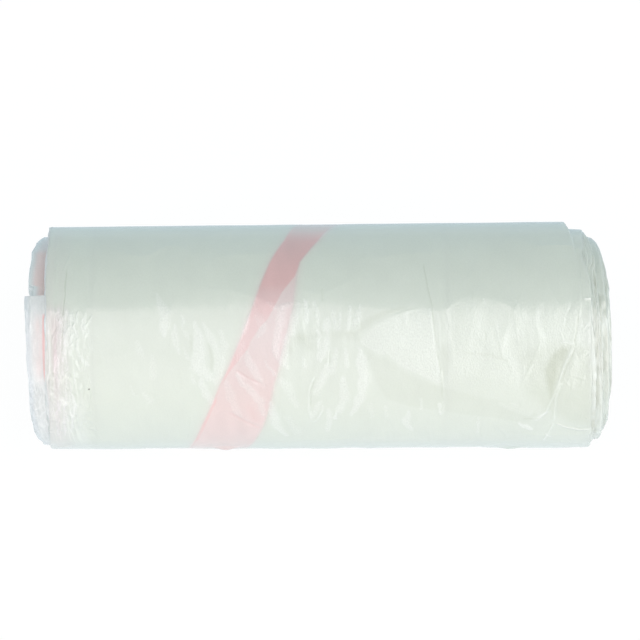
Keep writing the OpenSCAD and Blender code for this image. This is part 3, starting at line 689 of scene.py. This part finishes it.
def make_skin(rows):
    """The outer ply of the roll in two sheets, left open where the outer strip lies."""
    angle = rows[:, None]
    left, right = skin_ends(angle)
    strip_left, strip_right = strip_edges(angle)
    sheets = []
    seam, middle = left + 14.0, 0 * right + 38.0
    for name, first, last, count in (
        ("outer_ply_edge", left, seam, 84), ("outer_ply_left", seam, strip_left, 140),
        ("outer_ply_right", strip_left, middle, 160), ("outer_ply_end", middle, right, 175),
    ):
        if first is not strip_left:
            x = first + (last - first) * np.linspace(0, 1, count)
        else:
            band = (strip_left + (strip_right - strip_left) * np.linspace(0, 1, 5))[:, :-1]
            x = np.concatenate([band, strip_right + (last - strip_right) * np.linspace(0, 1, count)], axis=1)
        wide = np.broadcast_to(angle, x.shape)
        r = skin_r(wide) + skin_height(x, wide)
        edge_x, inward = (right, -1) if last is right else (left, 1)
        from_edge = np.abs(x - edge_x)
        r = r - 0.1 * (1 - np.clip(from_edge / 0.5, 0, 1)) ** 2
        if first is left:
            more_x, more_r = turned_in(left, r[:, 0], inward)
            x, r = np.concatenate([more_x, x], axis=1), np.concatenate([more_r, r], axis=1)
        if last is right:
            more_x, more_r = turned_in(right, r[:, -1], inward)
            x, r = np.concatenate([x, more_x[:, ::-1]], axis=1), np.concatenate([r, more_r[:, ::-1]], axis=1)
        wide = np.broadcast_to(angle, x.shape).copy()
        # The torn perforation at the loose end, and the step down to the turn below it
        teeth = 0.35 * np.abs(np.mod(x[-1] / 1.1, 2) - 1)
        wide[-1] += teeth
        # Where the web comes out from under that step, its side is closed down to the turns below
        x = np.concatenate([x[:1], x, x[-1:]])
        r = np.concatenate([r[:1] - 1.2, r, r[-1:] - LAP_T - 0.1])
        wide = np.concatenate([wide[:1] - 0.1, wide, wide[-1:] + 0.1])
        drop = None
        if first is strip_left:
            drop = np.zeros((x.shape[0] - 1, x.shape[1] - 1), bool)
            open_rows = (wide[:-1, 0] >= LAP_ANGLE + 7.2) & (wide[1:, 0] <= LAP_ANGLE + 352.9)
            drop[open_rows, :4] = True
        points, colours = place(x, r, wide), film_colour(x, wide)
        sheets.append(grid_mesh(name, points, colours, around(x, wide), drop, film_grain(x, wide)))
    return sheets


def make_outer_strip(rows):
    """The pink strip under the outer ply, one layer and a folded second one."""
    rows = rows[(rows >= LAP_ANGLE + 5) & (rows <= LAP_ANGLE + 355)]
    angle = rows[:, None]
    left, right = strip_edges(angle)
    x = left + (right - left) * np.linspace(0, 1, 41)
    x = np.concatenate([left - 0.5, left - 0.25, x, right + 0.25, right + 0.5], axis=1)
    angle = np.broadcast_to(angle, x.shape)
    s = np.radians(angle) * ROLL_R
    inside = np.minimum(x - left, right - x)
    top = skin_r(angle) + skin_height(x, angle) - COVER_T * smooth((inside - 0.3) / 0.6) - 0.3 * np.clip(-inside, 0, 1)
    folded = left + np.maximum(0.8, STRIP_W * table(angle, DOUBLED_SHARES))
    ragged_fold = 0.5 * noise(s / 3, x * 0, 52) * smooth((66 - angle) / 10)
    # Painted highlight: lower down, the folded second layer is paler
    double = smooth((folded + 0.35 + ragged_fold - x) / 0.7) * (1 - 0.35 * smooth((64 - angle) / 8))
    colours = blend(PINK, DEEP_PINK, double)
    colours = blend(film_colour(x, angle), colours, 0.05 + 0.95 * smooth((inside + 0.1) / 0.9))
    # Painted highlights lighten the strip and painted shade darkens it
    painted_light, _ = painted_light_and_grain(x, s)
    colours = colours * (1 + 0.03 * noise(x / 3, s / 12, 51))[..., None]
    colours = colours * (1 + painted_light[..., None] * np.array([0.3, 1.3, 1.3]))
    colours = colours * (1 + smooth((40 - angle) / 34)[..., None] * np.array([0.07, 0.02, 0.015]))
    deep_part = double * smooth((74 - angle) / 10)
    colours = colours * (1 + deep_part[..., None] * np.array([0.06, 0.03, 0.03]))
    # Painted reflection: near the top the strip is lighter and fades towards the film's colour, a glossy haze seen at a
    # grazing view
    colours = colours * (1 + 0.045 * smooth((angle - 98) / 12))[..., None]
    colours = blend(colours, film_colour(x, angle), 0.5 * smooth((angle - 104) / 18) * smooth((200 - angle) / 40))
    # Painted highlight: a lighter pink over the brightly lit band below the top
    colours = blend(colours, np.array([0.86, 0.72, 0.72]), 0.25 * smooth((78 - angle) / 8) * smooth((angle - 30) / 20))
    # Its two ends dip under the ply
    top = top - 0.2 * (smooth(angle - LAP_ANGLE - 351.5) + smooth(LAP_ANGLE + 8.5 - angle))
    bottom = top[:, 1:-1][:, ::-1] - STRIP_T
    xs = np.concatenate([x, x[:, 1:-1][:, ::-1], x[:, :1]], axis=1)
    rs = np.concatenate([top, bottom, top[:, :1]], axis=1)
    cs = np.concatenate([colours, colours[:, 1:-1][:, ::-1], colours[:, :1]], axis=1)
    angles = np.broadcast_to(rows[:, None], xs.shape)
    grain = np.full(xs.shape, 0.35)
    grain[:, :x.shape[1]] = film_grain(x, angle)
    return grid_mesh("outer_strip", place(xs, rs, angles), cs, around(xs, angles), None, grain)


FINE = 4 * BUNDLES
FINE_T = (ROLL_R - LAP_T - EYE_R) / FINE


def make_end(name, side, rows):
    """The edges of the turns at one end: a spiral of folded web edges with gaps between them."""
    part = part_of_turn(rows)[:, None]
    angle = rows[:, None]
    outward = -1 if side == 0 else 1

    def edge(turn):
        depth = (FINE - turn - part) / 4
        arc = np.radians(angle) * (EYE_R + FINE_T * turn)
        far = left_x(depth, angle) if side == 0 else right_x(depth, angle)
        ripple = 0.18 * noise(turn * 7.3 + side * 50 + arc / 2.2, depth * 0, 61)
        ripple = ripple + 0.30 * noise(arc / 9 + side * 70, depth * 2.2, 63)
        far = far + outward * ripple
        r = EYE_R + FINE_T * (turn + part)
        if side == 1:
            far = far + table(depth, RIGHT_STAIRS) * smooth((angle - 84) / 8) * smooth((122 - angle) / 8)
            closed = smooth((angle - 82) / 8) * smooth((118 - angle) / 8) * smooth((0.95 - depth) / 0.2)
            far = far + closed * np.maximum(skin_ends(angle)[1] + 0.15 + 0.8 * depth - far, 0)
            return np.minimum(far, moved_to(far, r, angle, RIGHT_OUTLINE))
        shown = moved_to(far, r, angle, LEFT_OUTLINE)
        ledge = (depth > 1.9) & (depth < 3.1) & (angle > 80) & (angle < 128)
        return np.where(ledge, shown + 0.4 * np.abs(ripple), np.maximum(far, shown))

    xs, rs = [], []
    crumpled = range(FINE - 16, FINE) if side == 1 else ()
    for turn in range(FINE):
        inner = EYE_R + FINE_T * (turn + part)
        here, below = edge(turn), edge(turn - 1)
        arc = np.radians(angle) * inner
        gap = outward * (np.minimum(np.abs(here), np.abs(below)) - (1.2 if turn % 4 == 0 else 0.6))
        wobble = 0.12 * noise(arc / 3.1, part * 0 + turn * 0.45, 65) + 0.10 * noise(arc / 1.5, part * 0 + turn * 3.7, 68)
        wobble = wobble * (1 - 0.8 * side * smooth((angle - 78) / 8) * smooth((170 - angle) / 20))
        if turn in crumpled:
            # The top of the turn below, crumpled round the roll
            start, low = xs[-1], rs[-1]
            for share in (0.15, 0.3, 0.5, 0.7, 0.85):
                lift = 0.2 * (0.1 + 0.9 * smooth((85 - angle) / 8)) * noise(turn * 3.1 + share * 7.7 + arc / 30, arc / 1.9, 70)
                xs.append(start + (gap - start) * (share + 0.06 * noise(arc / 3.5, part * 0 + turn * 1.9, 72)))
                rs.append(low + (inner - low) * share + lift)
        xs += [gap, here - outward * 0.1, here, here - outward * 0.1]
        rs += [inner + wobble * 0.5, inner + 0.16 * FINE_T + wobble, inner + 0.5 * FINE_T + wobble, inner + 0.84 * FINE_T + wobble]
    if side == 1:
        # Below the outer turn, each column a little below the next, so that no two faces coincide
        under = skin_r(angle) - 0.3 - right_drop(angle)
        rs = [np.minimum(r, under - 0.012 * (len(rs) - count)) for count, r in enumerate(rs)]
    last_left, last_right = skin_ends(angle)
    last = last_left if side == 0 else last_right
    xs.append(outward * (np.abs(last) - 0.5))
    rs.append(skin_r(angle) - 0.3 - side * right_drop(angle))
    x, r = np.concatenate(xs, axis=1), np.concatenate(rs, axis=1)
    angle = np.broadcast_to(angle, x.shape)
    if side == 0:
        x, r, angle = x[:, ::-1], r[:, ::-1], angle[:, ::-1]
    arc = np.radians(angle) * r
    # Painted glints and shade: light and dark streaks along the edges lower down, browner where darker, and the right
    # end darker on its upper back
    glint_streaks = 0.15 * noise(x / 0.3, arc / 9, 69) + 0.05 * noise(x / 0.55, arc / 20, 73) - 0.03 * side
    shade = 1 + 0.03 * noise(r / 0.5, arc / 6, 66) + glint_streaks * smooth((85 - angle) / 8) - 0.06 * side * smooth((angle - 74) / 8)
    glow = (0.28 if side == 0 else 0.05) * smooth(noise(r / 2.1, arc / 25, 67) * 2)
    colours = blend(BLUISH_FILM if side == 0 else EDGE_FILM, PINK, glow) * shade[..., None]
    colours = colours * (1 + np.minimum(shade - 1, 0)[..., None] * np.array([0, 0.1, 0.5]))
    return grid_mesh(name, place(x, r, angle), colours, around(x, angle))


def make_eye(rows):
    """The wall of the open eye at the middle of the winding."""
    angle = rows[:, None]
    r = EYE_R + FINE_T * part_of_turn(angle)
    depth = (FINE - part_of_turn(angle)) / 4
    left, right = left_x(depth, angle) + 0.4, right_x(depth, angle) - 0.4
    x = left + (right - left) * np.linspace(0, 1, 60)
    r = r + 0.12 * noise(x / 9, np.radians(angle) * 3, 71)
    angle = np.broadcast_to(angle, x.shape)
    # Painted shade: the wall inside the eye a little darker than the edges' film
    colours = np.broadcast_to(EDGE_FILM * 0.9, x.shape + (3,))
    return grid_mesh("eye_wall", place(x[:, ::-1], r[:, ::-1], angle), colours, around(x, angle))


def make_loose_fold():
    """The crumpled fold of film that slipped out at the left end."""
    angle = np.linspace(-74, 72, 330)[:, None]
    root = -FOLD_W / 2 + LOOSE_ROOT
    s = np.radians(angle) * ROLL_R
    base = skin_r(angle) - 1.0 - 0.65 * smooth((-2 - angle) / 20)
    tip = moved_to(-FOLD_W / 2 - LOOSE_REACH * table(angle, LOOSE_SHARES), base, angle, FLAP_OUTLINE)
    tip = tip + 0.1 * noise(s / 3, s * 0, 81) * smooth((angle + 16) / 12)
    x = root + (tip - root) * np.linspace(0, 1, 60)
    out = np.clip((-FOLD_W / 2 - x) / 5, 0, 1)
    low = smooth((30 - angle) / 8) * smooth((angle + 12) / 10)
    crumple = 0.30 * (folds(x / 2.0, s / 13, 82) - 0.35) + (0.12 + 0.16 * low) * noise(x / 0.9, s / 3, 83)
    crumple = crumple + low * 0.42 * (folds(x / 1.5 + s / 5, s / 3.4 - x / 4, 86) - 0.4)
    crumple = crumple + 0.3 * (folds(x / 3.1 + s / 22, s / 9, 85) - 0.3)
    r = base + 0.5 - 0.6 * out + crumple * (0.25 + 0.75 * out) * smooth((angle + 24) / 16)
    # Close below the outer ply's edge, so that no dark gap shows there
    cover = smooth((x - skin_ends(angle)[0] + 1.2) / 1.2) * smooth((angle + 2) / 20)
    r = r + (skin_r(angle) + skin_height(x, angle) - 0.32 - r) * cover
    top, bottom = r + 0.2, r - 0.2
    top[:, -1:] -= 0.12
    bottom[:, -1:] += 0.12
    xs = np.concatenate([x, x[:, ::-1]], axis=1)
    rs = np.concatenate([top, bottom[:, ::-1]], axis=1)
    angles = np.broadcast_to(angle, xs.shape)
    arc = np.radians(angles) * ROLL_R
    warm = blend(FLAP_RIM + 0 * xs[..., None], LOOSE_FILM, smooth((xs - tip - 0.5) / 1.8))
    blush = 0.5 * np.exp(-(((xs + 84.4) / 1.8) ** 2)) * smooth((arc - 14) / 8) * smooth((40 - arc) / 6)
    warm = blend(warm, PINK, np.clip(blush * (1 + 0.4 * noise(xs / 0.9, arc / 7, 87)) + 0.12, 0, 1))
    half = 0.2 + 0.24 * smooth((arc - 16) / 13)
    line = np.exp(-(((xs + 82.7) / half) ** 4)) * smooth((arc - 16) / 4) * smooth((38.5 - arc) / 1.5)
    colours = blend(warm, RED_LINE, 0.9 * line)
    glints = folds(xs / 0.75 + arc / 5, arc / 3.2 - xs / 3, 88) - 0.4
    low_part = smooth((24 - arc) / 6)
    colours = colours * (1 + 0.05 * noise(xs / 1.5, arc / 9, 84) + (0.17 * glints + 0.05) * low_part)[..., None]
    points = place(xs, rs, angles)
    return grid_mesh("loose_fold", points[:, ::-1], colours[:, ::-1], around(xs, angles)[:, ::-1])


def make_inner_strip():
    """The strip that lies on the ledge at the left end."""
    angle = np.arange(LAP_ANGLE + 22, LAP_ANGLE + 321, 1.5)[:, None]
    part = part_of_turn(angle)
    base = ROLL_R - LAP_T - BUNDLE_T * (2 - part) + 0.1
    left = left_x(3 - part, angle) + 0.06 * STRIP_W
    shown = moved_to(left, base, angle, LEFT_OUTLINE) + 0.15
    left = np.where((angle > 80) & (angle < 132), shown, np.maximum(left, shown))
    x = left + STRIP_W * np.linspace(0, 1, 30)
    s = np.radians(angle) * ROLL_R
    top = base + 0.06 * noise(x / 2, s / 8, 91)
    colours = blend(blend(BLUISH_FILM, PINK, smooth((x - left) / 2.2)), DEEP_PINK, 0.28 * smooth((x - left - 1.8) / 3.2))
    colours = blend(colours, BLUISH_FILM, 0.6 * smooth((angle - 103) / 9))
    colours = colours * (1.04 + 0.04 * noise(x / 1.2, s / 9, 92))[..., None]
    xs = np.concatenate([x, x[:, ::-1], x[:, :1]], axis=1)
    rs = np.concatenate([top, top[:, ::-1] - STRIP_T, top[:, :1]], axis=1)
    cs = np.concatenate([colours, colours[:, ::-1], colours[:, :1]], axis=1)
    angles = np.broadcast_to(angle, xs.shape)
    return grid_mesh("inner_strip", place(xs, rs, angles), cs, around(xs, angles))


def film_material(name, gloss, bump, milk):
    """Satin film: a milky body under a clear glossy face, brushed slightly round the roll."""
    material = bpy.data.materials.new(name)
    material.use_nodes = True
    nodes, links = material.node_tree.nodes, material.node_tree.links
    shader = nodes["Principled BSDF"]
    tint = nodes.new("ShaderNodeVertexColor")
    tint.layer_name = "tint"
    places = nodes.new("ShaderNodeUVMap")
    places.uv_map = "around"
    stretch = nodes.new("ShaderNodeMapping")
    stretch.inputs["Scale"].default_value = (1.0, 0.7, 1.0)
    links.new(places.outputs["UV"], stretch.inputs["Vector"])
    grain = nodes.new("ShaderNodeTexNoise")
    grain.inputs["Scale"].default_value = 2100
    grain.inputs["Detail"].default_value = 3
    links.new(stretch.outputs["Vector"], grain.inputs["Vector"])
    mottle = nodes.new("ShaderNodeTexNoise")
    mottle.inputs["Scale"].default_value = 160
    mottle.inputs["Detail"].default_value = 4
    links.new(stretch.outputs["Vector"], mottle.inputs["Vector"])
    tree = material.node_tree
    centred = add_math(tree, "SUBTRACT", grain.outputs["Fac"], 0.5)
    share = add_math(tree, "ADD", add_math(tree, "MULTIPLY", tint.outputs["Alpha"], 0.21), 0.05)
    speckle = add_math(tree, "MULTIPLY", centred, share)
    vary = nodes.new("ShaderNodeMapRange")
    vary.inputs["To Min"].default_value = 0.965
    vary.inputs["To Max"].default_value = 1.035
    links.new(mottle.outputs["Fac"], vary.inputs["Value"])
    level = add_math(tree, "ADD", vary.outputs["Result"], speckle)
    product = nodes.new("ShaderNodeVectorMath")
    product.operation = "SCALE"
    links.new(tint.outputs["Color"], product.inputs[0])
    links.new(level, product.inputs["Scale"])
    links.new(product.outputs["Vector"], shader.inputs["Base Color"])
    rough = nodes.new("ShaderNodeMapRange")
    rough.inputs["To Min"].default_value = gloss - 0.05
    rough.inputs["To Max"].default_value = gloss + 0.09
    links.new(mottle.outputs["Fac"], rough.inputs["Value"])
    links.new(rough.outputs["Result"], shader.inputs["Roughness"])
    lift = nodes.new("ShaderNodeBump")
    lift.inputs["Strength"].default_value = bump
    lift.inputs["Distance"].default_value = 0.00015
    height = add_math(tree, "MULTIPLY", centred, add_math(tree, "ADD", tint.outputs["Alpha"], 0.35))
    links.new(height, lift.inputs["Height"])
    links.new(lift.outputs["Normal"], shader.inputs["Normal"])
    links.new(lift.outputs["Normal"], shader.inputs["Coat Normal"])
    shader.inputs["IOR"].default_value = 1.85
    shader.inputs["Coat Weight"].default_value = 1.0
    shader.inputs["Coat IOR"].default_value = 2.1
    shader.inputs["Coat Roughness"].default_value = 0.11
    shader.inputs["Subsurface Weight"].default_value = milk
    shader.inputs["Subsurface Radius"].default_value = (1.0, 1.0, 0.9)
    shader.inputs["Subsurface Scale"].default_value = 0.0025
    return material


def add_math(tree, operation, first, second=None):
    """A maths node whose inputs are sockets or plain numbers."""
    node = tree.nodes.new("ShaderNodeMath")
    node.operation = operation
    for place_in, value in enumerate((first, second)):
        if value is None:
            continue
        if isinstance(value, (int, float)):
            node.inputs[place_in].default_value = value
        else:
            tree.links.new(value, node.inputs[place_in])
    return node.outputs[0]


def add_step(tree, value, low, high, at_low=0.0, at_high=1.0):
    """A smooth step between two values."""
    node = tree.nodes.new("ShaderNodeMapRange")
    node.interpolation_type = "SMOOTHSTEP"
    for name, number in (("From Min", low), ("From Max", high), ("To Min", at_low), ("To Max", at_high)):
        node.inputs[name].default_value = number
    tree.links.new(value, node.inputs["Value"])
    return node.outputs["Result"]


def add_mix(tree, share, first, second):
    """A mix of two colours, each a socket or a plain colour."""
    node = tree.nodes.new("ShaderNodeMix")
    node.data_type = "RGBA"
    tree.links.new(share, node.inputs["Factor"])
    for socket, value in ((node.inputs[6], first), (node.inputs[7], second)):
        if isinstance(value, tuple):
            socket.default_value = (*value, 1)
        else:
            tree.links.new(value, socket)
    return node.outputs[2]


def floor_material():
    """White to the camera with the roll's soft shadow kept; to other rays a bright glow, with painted shadow near and
    behind the roll.
    """
    material = bpy.data.materials.new("pale_floor")
    material.use_nodes = True
    tree = material.node_tree
    shader = tree.nodes["Principled BSDF"]
    shader.inputs["Base Color"].default_value = (0.80, 0.82, 0.83, 1)
    shader.inputs["Roughness"].default_value = 0.9
    places = tree.nodes.new("ShaderNodeTexCoord")
    parts = tree.nodes.new("ShaderNodeSeparateXYZ")
    tree.links.new(places.outputs["Object"], parts.inputs["Vector"])
    # To all rays but the camera's the floor glows: bright in front, with painted shadow near the roll and behind it
    near = add_step(tree, parts.outputs["Y"], -0.13, -0.03)
    behind = add_step(tree, parts.outputs["Y"], -0.01, 0.06)
    seen = add_mix(tree, behind, add_mix(tree, near, FLOOR_FRONT, FLOOR_NEAR_SHADOW), FLOOR_BACK_SHADOW)
    path = tree.nodes.new("ShaderNodeLightPath")
    colour = add_mix(tree, path.outputs["Is Camera Ray"], seen, (1.05, 1.05, 1.05))
    glow = tree.nodes.new("ShaderNodeEmission")
    tree.links.new(colour, glow.inputs["Color"])
    share = add_math(tree, "MULTIPLY", path.outputs["Is Camera Ray"], 0.12)
    share = add_math(tree, "SUBTRACT", 1.0, share)
    mix = tree.nodes.new("ShaderNodeMixShader")
    tree.links.new(share, mix.inputs["Fac"])
    tree.links.new(shader.outputs["BSDF"], mix.inputs[1])
    tree.links.new(glow.outputs["Emission"], mix.inputs[2])
    tree.links.new(mix.outputs["Shader"], tree.nodes["Material Output"].inputs["Surface"])
    return material


def make_camera():
    up = math.radians(CAMERA_UP_DEG)
    away = CAMERA_AWAY * ROLL_R * MM
    look = Vector((0, math.cos(up), -math.sin(up)))
    data = bpy.data.cameras.new("camera")
    data.sensor_width = SENSOR_MM
    data.lens = SENSOR_MM * away / (PHOTO_SIDE * MM_PER_PIXEL * MM)
    data.shift_y = (PHOTO_Y - PHOTO_SIDE / 2) / PHOTO_SIDE
    data.clip_start, data.clip_end = 0.05, 20
    camera = bpy.data.objects.new("camera", data)
    bpy.context.scene.collection.objects.link(camera)
    camera.location = Vector((0, 0, FLAT_R * MM)) - look * away
    turn = look.to_track_quat("-Z", "Y").to_matrix().to_4x4()
    spin = Matrix.Rotation(math.radians(-CAMERA_ROLL_DEG), 4, "Z")
    camera.matrix_world = Matrix.Translation(camera.location) @ turn @ spin
    bpy.context.scene.camera = camera


def make_floor():
    side = 4.0
    mesh = bpy.data.meshes.new("floor")
    mesh.from_pydata([(-side, -side, 0), (side, -side, 0), (side, side, 0), (-side, side, 0)], [], [(0, 1, 2, 3)])
    floor = bpy.data.objects.new("floor", mesh)
    bpy.context.scene.collection.objects.link(floor)
    mesh.materials.append(floor_material())


# How bright the front of the light tent is, against the sideways part of the direction from -1 to 1
TENT_BARS = [(-1, 1.5), (-0.75, 1.2), (-0.55, 1.1), (-0.4, 1.35), (-0.25, 1.2), (-0.12, 1.0), (-0.04, 1.05),
             (0.05, 0.97), (0.13, 1.12), (0.22, 1.8), (0.38, 2.1), (0.5, 1.5), (0.62, 1.2), (1, 1.6)]
TENT_TOP = 2.2
# Its brightness against the height above the horizon, in shares of a half turn
TENT_BANDS = [(0, 0.95), (0.1, 0.99), (0.2, 0.95), (0.26, 1.05), (0.33, 1.06), (0.38, 1.02), (0.44, 1.1), (0.49, 1.08)]
TENT_BACK = (0.46, 0.54, 0.54)
TENT_HORIZON = (0.53, 0.64, 0.68)
# The floor's glow to all but the camera, bright in front, and its painted shadow near the roll and behind it
FLOOR_FRONT = (0.97, 0.99, 0.97)
FLOOR_NEAR_SHADOW = (0.84, 0.91, 0.93)
FLOOR_BACK_SHADOW = (0.59, 0.715, 0.78)


def add_ramp(tree, value, pairs, top):
    """A row of values along a ramp from 0 to 1, divided by the highest."""
    ramp = tree.nodes.new("ShaderNodeValToRGB")
    stops = ramp.color_ramp.elements
    for place_in, (x, number) in enumerate(pairs):
        first, last = place_in == 0, place_in == len(pairs) - 1
        element = stops[0] if first else stops[-1] if last else stops.new(x)
        element.position = x
        element.color = (number / top,) * 3 + (1,)
    tree.links.new(value, ramp.inputs["Fac"])
    return ramp.outputs["Color"]


def make_light():
    """A light tent: bright in front up to straight overhead, with two brighter bars, and dim behind."""
    world = bpy.data.worlds.new("studio")
    bpy.context.scene.world = world
    world.use_nodes = True
    tree = world.node_tree
    places = tree.nodes.new("ShaderNodeTexCoord")
    parts = tree.nodes.new("ShaderNodeSeparateXYZ")
    tree.links.new(places.outputs["Generated"], parts.inputs["Vector"])
    forward = add_math(tree, "MULTIPLY", parts.outputs["Y"], -1.0)
    height = add_math(tree, "ARCTAN2", parts.outputs["Z"], forward)
    front = add_step(tree, height, math.radians(75), math.radians(82), 1.0, 0.0)
    across = add_math(tree, "MULTIPLY", add_math(tree, "ADD", parts.outputs["X"], 1.0), 0.5)
    bars = add_ramp(tree, across, [((x + 1) / 2, value) for x, value in TENT_BARS], TENT_TOP)
    up_share = add_math(tree, "DIVIDE", height, math.pi)
    bands = add_ramp(tree, up_share, TENT_BANDS, 1.2)
    both = add_math(tree, "MULTIPLY", bars, bands)
    brighter = tree.nodes.new("ShaderNodeCombineColor")
    level = add_math(tree, "MULTIPLY", both, TENT_TOP * 1.2)
    for name in ("Red", "Green", "Blue"):
        tree.links.new(level, brighter.inputs[name])
    low = add_step(tree, height, math.radians(118), math.radians(178))
    back = add_mix(tree, low, TENT_BACK, TENT_HORIZON)
    colour = add_mix(tree, front, back, brighter.outputs["Color"])
    tree.links.new(colour, tree.nodes["Background"].inputs["Color"])


def finish_piece(piece, material, slot, *nodes):
    piece.data.materials.append(material)
    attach(piece, "root")
    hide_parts(*nodes)


def main():
    bpy.context.scene.view_settings.view_transform = "Standard"
    make_camera()
    make_floor()
    make_light()
    film = film_material("satin_film", 0.34, 0.5, 0.25)
    strip = film_material("pink_strip_film", 0.34, 0.5, 0.25)
    edges = film_material("wound_edges_film", 0.42, 0.3, 0.2)
    rows = skin_rows()
    for sheet in make_skin(rows):
        finish_piece(sheet, film, "film", "bag_roll")
    finish_piece(make_outer_strip(rows), strip, "tie_strip", "outer_tie_strip")
    end_rows = np.linspace(LAP_ANGLE, LAP_ANGLE + 360, 241)
    right_rows = np.concatenate([
        np.arange(LAP_ANGLE, -40, 2.2), np.arange(-40, 142, 1.05), np.linspace(142, LAP_ANGLE + 360, 26)
    ])
    finish_piece(make_end("left_edges", 0, end_rows), edges, "film", "bag_roll")
    finish_piece(make_end("right_edges", 1, right_rows), edges, "film", "bag_roll")
    finish_piece(make_eye(np.linspace(LAP_ANGLE, LAP_ANGLE + 360, 73)), edges, "film", "bag_roll")
    finish_piece(make_loose_fold(), film, "film", "bag_roll")
    finish_piece(make_inner_strip(), strip, "inner_tie_strip", "inner_tie_strip")


main()
